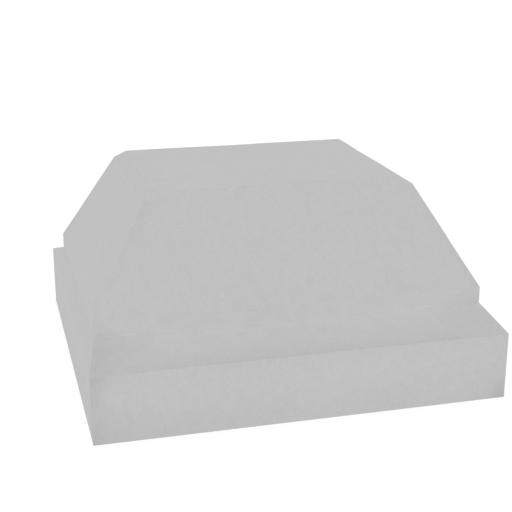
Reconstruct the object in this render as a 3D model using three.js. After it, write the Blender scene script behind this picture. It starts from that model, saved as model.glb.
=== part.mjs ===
// A low pedestal base in light grey cast stone: a plinth with a weathered top, and a battered block on it.
// Millimetres, +Z up. The origin is the centre of the plinth's underside, X runs along the front and Y back.

import * as THREE from "three";

// Plinth: an upright-faced slab, whose top slopes out on all four sides to shed water from a flat bed
const plinthWidth = 600;
const plinthDepth = 581;
const plinthFaceHeight = 99.5;
const washRise = 23.5;
const washRunSides = 13.75;
const washRunFront = 72;

// Block: a low upright riser, then battered faces up to a shoulder, then a small splay round the flat top
const riserHeight = 24.5;
const batterRise = 145.5;
const batterRunSides = 84.5;
const batterRunFront = 71.5;
const splayRise = 11;
const splayRunSides = 18.25;
const splayRunFront = 9.25;

// Exposed arrises are rubbed to a small round, which reaches this far along the faces that meet there
const arrisReach = 1;
const arrisSteps = 4;

// A level is one rectangle of a stone's outline, held as half its width, half its depth, and its height
const level = (halfWidth, halfDepth, height) => new THREE.Vector3(halfWidth, halfDepth, height);

// The level above another, where the faces between the two rise and run inwards
const above = (base, rise, runSides = 0, runFront = 0) =>
  base.clone().add(level(-runSides, -runFront, rise));

// The level inside another on one flat face, clear of the round on its arris
const insideArris = (edge) => above(edge, 0, 2 * arrisReach, 2 * arrisReach);

// The levels that round an arris off, from the face under it to the face over it
function arrisLevels(under, edge, over) {
  const start = under.clone().sub(edge).setLength(arrisReach).add(edge);
  const end = over.clone().sub(edge).setLength(arrisReach).add(edge);
  return new THREE.QuadraticBezierCurve3(start, edge, end).getPoints(arrisSteps);
}

// Rounds every level but the first and the last, which stay as they are
function easedLevels(levels) {
  const arrises = levels.slice(1, -1).map((edge, i) => arrisLevels(levels[i], edge, levels[i + 2]));
  return [levels[0], ...arrises.flat(), levels.at(-1)];
}

// One level as the points round its rectangle, anticlockwise from above, with the upright arrises rounded
function levelOutline({ x: halfWidth, y: halfDepth, z: height }) {
  const corners = [[1, 1], [-1, 1], [-1, -1], [1, -1]];
  return corners.flatMap(([right, back], quarter) => {
    const centre = new THREE.Vector3(
      right * (halfWidth - arrisReach),
      back * (halfDepth - arrisReach),
      height,
    );
    return Array.from({ length: arrisSteps + 1 }, (_, step) => {
      const turn = (quarter + step / arrisSteps) * (Math.PI / 2);
      return new THREE.Vector3(Math.cos(turn), Math.sin(turn), 0).multiplyScalar(arrisReach).add(centre);
    });
  });
}

// A closed stone, with faces from each level up to the next, and a flat face over the first and the last
function stoneGeometry(levels) {
  const outlines = levels.map(levelOutline);
  const around = outlines[0].length;
  const triangles = [];
  for (let row = 0; row < outlines.length - 1; row++) {
    for (let i = 0; i < around; i++) {
      const here = row * around + i;
      const next = row * around + ((i + 1) % around);
      triangles.push(here, next, next + around, here, next + around, here + around);
    }
  }
  const plan = outlines[0].map(({ x, y }) => new THREE.Vector2(x, y));
  const topRow = (outlines.length - 1) * around;
  for (const [a, b, c] of THREE.ShapeUtils.triangulateShape(plan, [])) {
    triangles.push(c, b, a);
    triangles.push(topRow + a, topRow + b, topRow + c);
  }
  const geometry = new THREE.BufferGeometry().setFromPoints(outlines.flat());
  geometry.setIndex(triangles);
  geometry.computeVertexNormals();
  return geometry;
}

// Fine cast stone straight from the mould: an even light grey, matt, with no coarse grain
const castStone = () => new THREE.MeshStandardMaterial({ color: 0xc0c0c0, roughness: 0.85, metalness: 0 });

function stone(name, levels) {
  const mesh = new THREE.Mesh(stoneGeometry(easedLevels(levels)), castStone());
  mesh.name = name;
  return mesh;
}

// The plinth's levels, from its foot to the edge of the flat bed that its wash leaves for the block
const plinthFoot = level(plinthWidth / 2, plinthDepth / 2, 0);
const plinthTop = above(plinthFoot, plinthFaceHeight);
const bed = above(plinthTop, washRise, washRunSides, washRunFront);

// The plinth stands on a flat underside with an eased edge, and its wash ends at the foot of the block
const plinth = () => stone("plinth", [insideArris(plinthFoot), plinthFoot, plinthTop, bed]);

// The block fills the bed. The arris at its foot stays sharp, so that the joint closes tight.
function batteredBlock() {
  const foot = level(bed.x, bed.y, 0);
  const riserTop = above(foot, riserHeight);
  const shoulder = above(riserTop, batterRise, batterRunSides, batterRunFront);
  const topEdge = above(shoulder, splayRise, splayRunSides, splayRunFront);
  const block = stone("battered_block", [foot, riserTop, shoulder, topEdge, insideArris(topEdge)]);
  block.position.z = bed.z;
  return block;
}

const pedestalBase = new THREE.Group();
pedestalBase.name = "pedestal_base";
pedestalBase.add(plinth(), batteredBlock());

export default pedestalBase;
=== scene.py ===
import math

import bpy
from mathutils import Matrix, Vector, noise


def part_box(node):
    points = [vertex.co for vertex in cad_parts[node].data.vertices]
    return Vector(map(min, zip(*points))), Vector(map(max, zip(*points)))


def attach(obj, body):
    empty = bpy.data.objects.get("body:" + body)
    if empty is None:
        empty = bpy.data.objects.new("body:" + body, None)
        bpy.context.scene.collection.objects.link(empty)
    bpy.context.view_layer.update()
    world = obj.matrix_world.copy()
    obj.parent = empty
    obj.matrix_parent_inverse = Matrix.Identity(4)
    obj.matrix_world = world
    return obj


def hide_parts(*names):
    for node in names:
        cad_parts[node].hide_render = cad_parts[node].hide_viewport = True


# Metres, in the part's own frame: Z up, the origin under the plinth's middle, X along the front, Y back.
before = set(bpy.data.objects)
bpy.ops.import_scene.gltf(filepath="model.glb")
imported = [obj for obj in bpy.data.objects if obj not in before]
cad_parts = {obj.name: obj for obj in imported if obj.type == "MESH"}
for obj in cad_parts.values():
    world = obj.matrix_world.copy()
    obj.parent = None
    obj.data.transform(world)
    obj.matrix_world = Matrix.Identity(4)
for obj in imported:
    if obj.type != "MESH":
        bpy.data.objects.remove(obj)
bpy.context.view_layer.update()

# Plinth
# The lower stone: a slab nearly as deep as it is wide, wet-cast in a smooth mould and rubbed down.
# Its top is a wash, which sheds rain on all four sides of the flat bed that the block sits on.
# It stands on the ground by its own weight.

plinth_low, plinth_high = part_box("plinth")
block_low, block_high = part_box("battered_block")

WASH_RISE = 0.0235
ARRIS_REACH = 0.001  # how far an arris's rounding reaches along the faces that meet there
ARRIS_STEPS = 4
CLOSEST_STEP = 0.0006  # rows start this close together beside an arris, so that flat faces shade flat
STEP_GROWTH = 1.7
WIDEST_STEP = 0.006
WIDEST_MARGIN = 1 / 3  # the close rows take up no more than this share of a face, at either end


def towards(start, end, distance):
    return start + (end - start).normalized() * distance


def stations(length):
    """Shares of a face's length: close together beside its two arrises, and even between them."""
    margin, at, step = [], 0.0, CLOSEST_STEP
    while step < WIDEST_STEP and at + step < length * WIDEST_MARGIN:
        at += step
        margin.append(at / length)
        step *= STEP_GROWTH
    count = max(1, math.ceil((length - 2 * at) / WIDEST_STEP))
    middle = [(at + (length - 2 * at) * i / count) / length for i in range(1, count)]
    return [0.0] + margin + middle + [1 - share for share in reversed(margin)] + [1.0]


def skin_rows(levels):
    """The rows up a stone's skin, each as half its width, half its depth and its height.
    Every level but the first and the last is an arris, and is rounded."""
    rows, start = [levels[0]], levels[0]
    for under, corner, over in zip(levels, levels[1:], levels[2:]):
        low, high = towards(corner, under, ARRIS_REACH), towards(corner, over, ARRIS_REACH)
        rows += [start.lerp(low, share) for share in stations((low - start).length)[1:]]
        for step in range(1, ARRIS_STEPS + 1):
            turn = step / ARRIS_STEPS
            rows.append(low.lerp(corner, turn).lerp(corner.lerp(high, turn), turn))
        start = high
    rows += [start.lerp(levels[-1], share) for share in stations((levels[-1] - start).length)[1:]]
    return rows


def ring(row, across, back):
    """The points round one row, anticlockwise from above, with the upright arrises rounded.
    across and back are the stations along the front and along a side."""
    x, y, z = row
    flat_x, flat_y = x - ARRIS_REACH, y - ARRIS_REACH
    sides = (
        ((x, -flat_y), (x, flat_y), back),
        ((flat_x, y), (-flat_x, y), across),
        ((-x, flat_y), (-x, -flat_y), back),
        ((-flat_x, -y), (flat_x, -y), across),
    )
    points = []
    for quarter, (start, end, shares) in enumerate(sides):
        start, end = Vector((*start, z)), Vector((*end, z))
        points += [start.lerp(end, share) for share in shares]
        centre = Vector((math.copysign(flat_x, end.x), math.copysign(flat_y, end.y), z))
        for step in range(1, ARRIS_STEPS):
            turn = (quarter + step / ARRIS_STEPS) * math.pi / 2
            points.append(centre + Vector((math.cos(turn), math.sin(turn), 0)) * ARRIS_REACH)
    return points


def wall_faces(rows, around):
    """The faces between each ring of points and the next one up."""
    faces = []
    for row in range(rows - 1):
        for i in range(around):
            here, beyond = row * around + i, row * around + (i + 1) % around
            faces.append((here, beyond, beyond + around, here + around))
    return faces


def close_with_fan(points, faces, edge):
    """Fills a ring with triangles that meet in its middle. edge holds its points' numbers in turn."""
    middle = len(points)
    points.append(Vector((0, 0, points[edge[0]].z)))
    faces += [(start, end, middle) for start, end in zip(edge, edge[1:] + edge[:1])]


def close_with_grid(points, faces, edge, row, across, back):
    """Fills the ring of a row with a flat grid as fine as the sides, and a strip round it."""
    flat_x, flat_y = row.x - ARRIS_REACH, row.y - ARRIS_REACH
    first, wide, deep = len(points), len(across), len(back)
    points += [
        Vector((flat_x * (2 * share_x - 1), flat_y * (2 * share_y - 1), row.z))
        for share_y in back for share_x in across
    ]
    right = [first + j * wide + wide - 1 for j in range(deep)]
    far = [first + (deep - 1) * wide + i for i in reversed(range(wide))]
    left = [first + j * wide for j in reversed(range(deep))]
    near = [first + i for i in range(wide)]
    beside = []
    for side in (right, far, left, near):
        beside += side + [side[-1]] * (ARRIS_STEPS - 1)
    strip = list(zip(edge, beside))
    for (outer, inner), (next_outer, next_inner) in zip(strip, strip[1:] + strip[:1]):
        faces.append((outer, next_outer, *dict.fromkeys((next_inner, inner))))
    for j in range(deep - 1):
        for i in range(wide - 1):
            corner = first + j * wide + i
            faces.append((corner, corner + 1, corner + 1 + wide, corner + wide))


HOLLOW_DEPTH = 0.0015  # the mould and the rubbing leave a face hollow here and there, by up to half of this
HOLLOW_LENGTH = 0.13
BED_MARGIN = 0.008  # faces come back to true this close to a bed, so that the stones meet


def out_of_true(at, beds):
    """How deep a face is hollow at a point. beds are the heights of the stone's beds."""
    from_bed = min(abs(at.z - bed) for bed in beds)
    hollow = max(0.0, noise.noise(at / HOLLOW_LENGTH))
    return HOLLOW_DEPTH * hollow * min(from_bed / BED_MARGIN, 1.0)


def stone_skin(name, levels, painted_light_and_shade, open_top):
    """A closed stone with a fine skin, its faces a little out of true, and its painted light and shade
    marked on it.
    An open top shows, and is as fine as the sides. A covered one is a bed, and so is the underside."""
    across, back = stations(2 * levels[0].x), stations(2 * levels[0].y)
    rows = skin_rows(levels)
    points = [point for row in rows for point in ring(row, across, back)]
    around = len(points) // len(rows)
    faces = wall_faces(len(rows), around)
    foot, top = list(range(around)), list(range(len(points) - around, len(points)))
    close_with_fan(points, faces, foot[::-1])
    if open_top:
        close_with_grid(points, faces, top, rows[-1], across, back)
    else:
        close_with_fan(points, faces, top)
    mesh = bpy.data.meshes.new(name)
    mesh.from_pydata(points, [], faces)
    mesh.polygons.foreach_set("use_smooth", [True] * len(faces))
    bed_rows = {0} if open_top else {0, len(rows) - 1}
    for edge in mesh.edges:
        row, other_row = (vertex // around for vertex in edge.vertices)
        edge.use_edge_sharp = row == other_row and row in bed_rows
    # The painted light and shade at each point, as a share of the stone's colour.
    painted_mark_values = mesh.attributes.new("painted_light_and_shade", "FLOAT", "POINT")
    painted_mark_values.data.foreach_set("value", [painted_light_and_shade(point) for point in points])
    beds = [rows[row].z for row in bed_rows]
    normals = [normal.vector.copy() for normal in mesh.vertex_normals]
    for vertex, normal in zip(mesh.vertices, normals):
        vertex.co -= normal * out_of_true(vertex.co, beds)
    mesh.update()
    piece = bpy.data.objects.new(name, mesh)
    bpy.context.scene.collection.objects.link(piece)
    return piece


# Painted light and shade: how much lighter than plain stone a place is painted, as a share. Above 0 it is
# painted light, mostly lifting the shade round the block's foot, and below 0 painted shade that darkens
# arrises, ends and feet.
# Each mark has its strength at its source and how far it reaches.
# The marks of the front are on the back too, and those of one side on the other.

# Painted light: the corner between riser and wash, and the wash before the block, are lighter to lift the
# shade that falls there.
PAINTED_LIGHT_IN_CORNER = (0.030, 0.0045)
PAINTED_LIGHT_ON_WASH = (0.076, 0.022)
PAINTED_LIGHT_AT_WASH_ENDS = (0.046, 0.032)
PAINTED_LIGHT_DOWN_WASH = (0.081, 0.095)
PAINTED_LIGHT_DOWN_WASH_STOPS = 0.11  # the painted light down the wash fades out over this length at each end of the wash
# Painted shade: the wash is darker along its arris and at its ends.
PAINTED_SHADE_BY_ARRIS = (-0.026, 0.034)
PAINTED_SHADE_LINE_AT_ARRIS = (-0.036, 0.006)
PAINTED_SHADE_BY_ARRIS_STARTS = 0.040  # the painted shade by the arris starts this far from the left end
PAINTED_SHADE_BY_ARRIS_FADES_IN = 0.035  # and is at its full strength this much further on
LEFT_CORNER_OF_WASH = (-0.044, 0.150)
LEFT_END_OF_WASH = (-0.043, 0.045)
RIGHT_END_OF_WASH = (-0.028, 0.200)
END_OF_SIDE_WASH = (-0.035, 0.050)

# Painted shade: the plinth's upright faces are darker under the front arris, beside the upright arrises and
# towards the foot.
PAINTED_SHADE_UNDER_ARRIS = (-0.016, 0.030)
OVER_LEFT_END = (-0.042, 0.085)
LEFT_ARRIS = (-0.055, 0.028)
RIGHT_ARRIS = (-0.024, 0.070)
RIGHT_FOOT = (-0.115, 0.036)
PAINTED_SHADE_AT_FRONT_FOOT = (-0.034, 0.080)
PAINTED_SHADE_GATHERS = 0.25  # the painted shade at the foot doubles towards the left end, over this length
SIDE_ARRIS = (-0.10, 0.022)
PAINTED_SHADE_AT_SIDE_FOOT = (-0.050, 0.250)

wash_arris = Vector((plinth_high.x, plinth_high.y, plinth_high.z - WASH_RISE))
bed_edge = Vector((block_high.x, block_high.y, plinth_high.z))


def fade(distance, reach):
    """1 at no distance, falling smoothly to 0 at its reach."""
    share = min(max(distance / reach, 0.0), 1.0)
    return (1 - share) ** 2 * (1 + 2 * share)


def mark(kind, distance):
    """What a mark of one kind adds at a distance from its source."""
    strength, reach = kind
    return strength * fade(distance, reach)


def on_front_or_back(at, corner):
    """Whether a point lies on the front or the back of a row, and not on a side. corner is the row's."""
    return corner.y - abs(at.y) < corner.x - abs(at.x)


def upright_painted_shade(at):
    """Painted shade on the plinth's upright faces: darker towards the foot, most at the left of the front,
    beside their arrises, and under the front's upper edge."""
    if not on_front_or_back(at, wash_arris):
        return mark(SIDE_ARRIS, plinth_high.y - abs(at.y)) + mark(PAINTED_SHADE_AT_SIDE_FOOT, at.z)
    from_left, from_right = plinth_high.x + at.x, plinth_high.x - at.x
    down = wash_arris.z - at.z
    arrises = mark(LEFT_ARRIS, from_left) + mark(RIGHT_ARRIS, from_right)
    foot_shade = mark(PAINTED_SHADE_AT_FRONT_FOOT, at.z) * (1 + fade(from_left, PAINTED_SHADE_GATHERS))
    foot_shade += mark(RIGHT_FOOT, math.hypot(from_right, at.z))
    shade_under_arris = mark(PAINTED_SHADE_UNDER_ARRIS, down) + mark(OVER_LEFT_END, math.hypot(from_left, down))
    return arrises + foot_shade + shade_under_arris


def wash_painted_light_and_shade(at):
    """Painted light lifts the wash beside the block and along it, and painted shade darkens it along its
    arris and at its ends."""
    corner = wash_arris.lerp(bed_edge, (at.z - wash_arris.z) / WASH_RISE)
    if not on_front_or_back(at, corner):
        return mark(END_OF_SIDE_WASH, plinth_high.y - abs(at.y))
    from_left, from_right = plinth_high.x + at.x, plinth_high.x - at.x
    from_block = math.hypot(corner.y - bed_edge.y, corner.z - bed_edge.z)
    from_arris = math.hypot(corner.y - wash_arris.y, corner.z - wash_arris.z)
    ends = fade(min(from_left, from_right), PAINTED_LIGHT_DOWN_WASH_STOPS)
    painted_light_by_block = mark(PAINTED_LIGHT_IN_CORNER, from_block) + mark(PAINTED_LIGHT_ON_WASH, from_block)
    painted_light_by_block += mark(PAINTED_LIGHT_AT_WASH_ENDS, from_block) * ends
    painted_shade = mark(PAINTED_SHADE_BY_ARRIS, from_arris) + mark(PAINTED_SHADE_LINE_AT_ARRIS, from_arris)
    painted_shade *= 1 - fade(from_left - PAINTED_SHADE_BY_ARRIS_STARTS, PAINTED_SHADE_BY_ARRIS_FADES_IN)
    along = (mark(PAINTED_LIGHT_DOWN_WASH, from_block) + painted_shade) * (1 - ends)
    end_shade = mark(LEFT_END_OF_WASH, from_left) + mark(RIGHT_END_OF_WASH, from_right)
    end_shade += mark(LEFT_CORNER_OF_WASH, math.hypot(bed_edge.x + at.x, from_block))
    return painted_light_by_block + along + end_shade


def plinth_painted_light_and_shade(at):
    return wash_painted_light_and_shade(at) if at.z > wash_arris.z else upright_painted_shade(at)


plinth = stone_skin(
    "plinth_skin",
    [
        Vector((plinth_high.x - 2 * ARRIS_REACH, plinth_high.y - 2 * ARRIS_REACH, plinth_low.z)),
        Vector((plinth_high.x, plinth_high.y, plinth_low.z)),
        wash_arris,
        bed_edge,
    ],
    plinth_painted_light_and_shade,
    open_top=False,
)


def linear(code):
    """An sRGB hex colour as linear red, green, blue and alpha."""
    channels = [int(code[i:i + 2], 16) / 255 for i in (1, 3, 5)]
    return [c / 12.92 if c <= 0.04045 else ((c + 0.055) / 1.055) ** 2.4 for c in channels] + [1.0]


def add(tree, kind, inputs=None, **settings):
    """One node with its settings, and its sockets set to values or linked to other nodes' sockets."""
    node = tree.nodes.new(kind)
    for key, value in settings.items():
        setattr(node, key, value)
    for key, value in (inputs or {}).items():
        if isinstance(value, bpy.types.NodeSocket):
            tree.links.new(value, node.inputs[key])
        else:
            node.inputs[key].default_value = value
    return node


# Cast stone, wet-cast from pale cement and fine crushed limestone, then rubbed: an even, matt light grey.
# Seen close it has faint clouds from curing and a fine sandy grain; painted light and shade is marked on it
# as well.
# A swing is the most by which a pattern makes the stone lighter or darker, as a share of its colour.

STONE_GREY = "#C0C0C0"
CLOUD_MM = 160  # patches a hand or two across, where the cement cured at its own pace
CLOUD_SWING = 0.025
MOTTLE_MM = 14  # cement fines gather against the mould in spots of 10 to 15 mm
MOTTLE_SWING = 0.04
GRAIN_MM = 2.6  # the sand is about 1 mm, drawn coarser so that it shows
GRAIN_SWING = 0.09
GRAIN_DEPTH_MM = 0.12
PAINTED_MARK_PATCH_MM = 30  # the painted light and shade is uneven, in patches of about an inch
PAINTED_MARK_SWING = 0.12  # as a share of the mark, not of the stone's colour
PAINTED_MARK_PATTERN_LOW, PAINTED_MARK_PATTERN_HIGH = 0.3, 0.7  # the noise keeps mostly between these
SMOOTHEST, ROUGHEST = 0.80, 0.92  # rubbed and never polished
STONE_IOR = 1.5  # of calcite and cement
PATTERN_DETAIL = 3.0
GRAIN_DETAIL = 2.0
MM_PER_METRE = 1000

cast_stone = bpy.data.materials.new("cast_stone")
cast_stone.use_nodes = True
tree = cast_stone.node_tree
tree.nodes.clear()
place = add(tree, "ShaderNodeTexCoord").outputs["Object"]
# The painted light and shade from the mesh, made patchy by a noise, scales the stone's colour.
painted_marks = add(tree, "ShaderNodeAttribute", attribute_name="painted_light_and_shade")
patches = add(tree, "ShaderNodeTexNoise", {
    "Vector": place, "Scale": MM_PER_METRE / PAINTED_MARK_PATCH_MM, "Detail": PATTERN_DETAIL,
})
patchy = add(tree, "ShaderNodeMapRange", {
    "Value": patches.outputs["Fac"],
    "From Min": PAINTED_MARK_PATTERN_LOW,
    "From Max": PAINTED_MARK_PATTERN_HIGH,
    "To Min": 1 - PAINTED_MARK_SWING,
    "To Max": 1 + PAINTED_MARK_SWING,
})
painted_light_and_shade_factor = add(tree, "ShaderNodeMath", {
    0: painted_marks.outputs["Fac"], 1: patchy.outputs["Result"], 2: 1.0,
}, operation="MULTIPLY_ADD")
clouds = add(tree, "ShaderNodeTexNoise", {
    "Vector": place, "Scale": MM_PER_METRE / CLOUD_MM, "Detail": PATTERN_DETAIL,
})
mottle = add(tree, "ShaderNodeTexNoise", {
    "Vector": place, "Scale": MM_PER_METRE / MOTTLE_MM, "Detail": PATTERN_DETAIL,
})
grain = add(tree, "ShaderNodeTexNoise", {
    "Vector": place, "Scale": MM_PER_METRE / GRAIN_MM, "Detail": GRAIN_DETAIL,
})
shade = painted_light_and_shade_factor.outputs["Value"]
for pattern, swing in ((clouds, CLOUD_SWING), (mottle, MOTTLE_SWING), (grain, GRAIN_SWING)):
    around_one = add(tree, "ShaderNodeMapRange", {
        "Value": pattern.outputs["Fac"], "To Min": 1 - swing, "To Max": 1 + swing,
    })
    shade = add(tree, "ShaderNodeMath", {
        0: around_one.outputs["Result"], 1: shade,
    }, operation="MULTIPLY").outputs["Value"]
colour = add(tree, "ShaderNodeVectorMath", {
    0: linear(STONE_GREY)[:3], "Scale": shade,
}, operation="SCALE")
matt = add(tree, "ShaderNodeMapRange", {
    "Value": grain.outputs["Fac"], "To Min": SMOOTHEST, "To Max": ROUGHEST,
})
relief = add(tree, "ShaderNodeBump", {
    "Height": grain.outputs["Fac"], "Distance": GRAIN_DEPTH_MM / MM_PER_METRE, "Strength": 1.0,
})
surface = add(tree, "ShaderNodeBsdfPrincipled", {
    "Base Color": colour.outputs["Vector"],
    "Metallic": 0.0,
    "Roughness": matt.outputs["Result"],
    "IOR": STONE_IOR,
    "Normal": relief.outputs["Normal"],
})
add(tree, "ShaderNodeOutputMaterial", {"Surface": surface.outputs["BSDF"]})

plinth.data.materials.append(cast_stone)
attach(plinth, "root")
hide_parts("plinth")

# Battered block
# The upper stone: a low riser, four battered faces up to a shoulder, and a splay round the flat top.
# It is cast of the same mix in one piece, and beds dry on the plinth, held by its own weight.

RISER_HEIGHT = 0.0245
BATTER_RUN_SIDES = 0.0845
BATTER_RUN_FRONT = 0.0715
SPLAY_RISE = 0.011
SPLAY_RUN_SIDES = 0.01825
SPLAY_RUN_FRONT = 0.00925
TOP_INSET = 0.004  # the rows end this far inside the top's arris, and a grid fills the rest

riser_top = Vector((block_high.x, block_high.y, block_low.z + RISER_HEIGHT))
shoulder = Vector((
    block_high.x - BATTER_RUN_SIDES,
    block_high.y - BATTER_RUN_FRONT,
    block_high.z - SPLAY_RISE,
))
top_edge = Vector((shoulder.x - SPLAY_RUN_SIDES, shoulder.y - SPLAY_RUN_FRONT, block_high.z))

# Painted light on the front and back risers and low on the batters lifts the shade of the corner at the
# block's foot. Painted shade darkens the riser's ends and foot, the side risers and the hips.
RISER_PAINTED_LIGHT_LOW = 0.17  # at the riser's foot
RISER_PAINTED_LIGHT_HIGH = 0.095  # and at its top
RISER_END = (-0.058, 0.042)
RISER_FOOT = (-0.034, 0.017)
FROM_LEFT_END = 0.15  # the painted shade at the riser's foot runs in this far from its left end
FROM_RIGHT_END = 0.07  # and this far from its right end
SIDE_RISER_PAINTED_SHADE = -0.023  # all over the side risers
SIDE_BATTER_PAINTED_LIGHT = 0.007  # at the top of the side batters
LOW_BATTER_PAINTED_LIGHT = (0.013, 0.110)
LEFT_HIP = (-0.044, 0.028)
RIGHT_HIP = (-0.055, 0.016)
SIDE_OF_HIP = (-0.030, 0.050)
FOOT_OF_LEFT_HIP = 0.25  # the share of the line down the left hip that is left at its foot
HIP_SHADE_GAP = 0.004  # that line of painted shade keeps this far off the hip's arris


def riser_painted_light_and_shade(from_foot, from_left, from_right):
    """Painted light lifts the front and back risers, most at the foot, and painted shade darkens their ends
    and the ends of the corner at their foot."""
    riser_light = RISER_PAINTED_LIGHT_LOW + (RISER_PAINTED_LIGHT_HIGH - RISER_PAINTED_LIGHT_LOW) * from_foot / RISER_HEIGHT
    shaded_ends = max(fade(from_left, FROM_LEFT_END), fade(from_right, FROM_RIGHT_END))
    painted_shade = mark(RISER_FOOT, from_foot) * shaded_ends + mark(RISER_END, min(from_left, from_right))
    return riser_light + mark(PAINTED_LIGHT_IN_CORNER, from_foot) + painted_shade


def block_painted_light_and_shade(at):
    """A faint line of painted shade runs down each hip, and the side risers are painted darker. The top
    and the splay are left plain."""
    if at.z > shoulder.z:
        return 0.0
    up = min(max((at.z - riser_top.z) / (shoulder.z - riser_top.z), 0.0), 1.0)
    corner = riser_top.lerp(shoulder, up)
    on_riser = at.z <= riser_top.z
    if not on_front_or_back(at, corner):
        if on_riser:
            return SIDE_RISER_PAINTED_SHADE
        return mark(SIDE_OF_HIP, corner.y - abs(at.y)) * (1 - up) + SIDE_BATTER_PAINTED_LIGHT * up
    from_left, from_right = corner.x + at.x, corner.x - at.x
    if on_riser:
        return riser_painted_light_and_shade(at.z - block_low.z, from_left, from_right)
    left_hip = mark(LEFT_HIP, from_left) * (FOOT_OF_LEFT_HIP + (1 - FOOT_OF_LEFT_HIP) * up)
    left_hip *= 1 - fade(from_left, HIP_SHADE_GAP)
    right_hip = mark(RIGHT_HIP, from_right) * (1 - up)
    return left_hip + right_hip + mark(LOW_BATTER_PAINTED_LIGHT, at.z - riser_top.z)


block = stone_skin(
    "battered_block_skin",
    [
        Vector((block_high.x, block_high.y, block_low.z)),
        riser_top,
        shoulder,
        top_edge,
        Vector((top_edge.x - TOP_INSET, top_edge.y - TOP_INSET, top_edge.z)),
    ],
    block_painted_light_and_shade,
    open_top=True,
)
block.data.materials.append(cast_stone)
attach(block, "root")
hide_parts("battered_block")

# Floor
# Not part of the object: a plain pale table of matt opal acrylic, lit evenly from below, so that it
# stays white right up to the stone.

FLOOR_HALF = 30.0  # half its side, far enough to fill every view
ACRYLIC_GREY = "#808080"  # unlit: its glow and the studio's light together make it white
FLOOR_GLOW = 0.827

floor_mesh = bpy.data.meshes.new("floor")
corners = [(x * FLOOR_HALF, y * FLOOR_HALF, 0) for x, y in ((-1, -1), (1, -1), (1, 1), (-1, 1))]
floor_mesh.from_pydata(corners, [], [(0, 1, 2, 3)])
floor = bpy.data.objects.new("floor", floor_mesh)
bpy.context.scene.collection.objects.link(floor)
acrylic = bpy.data.materials.new("matt_acrylic")
acrylic.use_nodes = True
tree = acrylic.node_tree
tree.nodes.clear()
glow = add(tree, "ShaderNodeBsdfPrincipled", {
    "Base Color": linear(ACRYLIC_GREY),
    "Roughness": 1.0,
    "Specular IOR Level": 0.0,
    "Emission Color": linear("#FFFFFF"),
    "Emission Strength": FLOOR_GLOW,
})
add(tree, "ShaderNodeOutputMaterial", {"Surface": glow.outputs["BSDF"]})
floor_mesh.materials.append(acrylic)

# Light
# Not part of the object: a plain studio, softly white all round and a little dimmer on the left.

BRIGHTNESS_LEFT = 0.91
BRIGHTNESS_RIGHT = 1.03

studio = bpy.data.worlds.new("studio")
studio.use_nodes = True
tree = studio.node_tree
tree.nodes.clear()
towards_sky = add(tree, "ShaderNodeTexCoord").outputs["Generated"]
rightwards = add(tree, "ShaderNodeSeparateXYZ", {"Vector": towards_sky}).outputs["X"]
brightness = add(tree, "ShaderNodeMapRange", {
    "Value": rightwards, "From Min": -1.0, "To Min": BRIGHTNESS_LEFT, "To Max": BRIGHTNESS_RIGHT,
})
white = add(tree, "ShaderNodeBackground", {
    "Color": linear("#FFFFFF"), "Strength": brightness.outputs["Result"],
})
add(tree, "ShaderNodeOutputWorld", {"Surface": white.outputs["Background"]})
bpy.context.scene.world = studio
bpy.context.scene.view_settings.view_transform = "Standard"

# Camera
# From the front and a little to the left, looking down at the middle of the base.

AZIMUTH = math.radians(-14.70)
ELEVATION = math.radians(17.88)
AIM = Vector((0.0002, 0, 0.1509))
DISTANCE = 1.753
FOCAL_LENGTH_MM = 77.0
SENSOR_WIDTH_MM = 36.0

back_to_camera = Vector((
    math.sin(AZIMUTH) * math.cos(ELEVATION),
    -math.cos(AZIMUTH) * math.cos(ELEVATION),
    math.sin(ELEVATION),
))
lens = bpy.data.cameras.new("camera")
lens.lens = FOCAL_LENGTH_MM
lens.sensor_width = SENSOR_WIDTH_MM
camera = bpy.data.objects.new("camera", lens)
bpy.context.scene.collection.objects.link(camera)
camera.location = AIM + back_to_camera * DISTANCE
camera.rotation_euler = (-back_to_camera).to_track_quat("-Z", "Y").to_euler()
bpy.context.scene.camera = camera
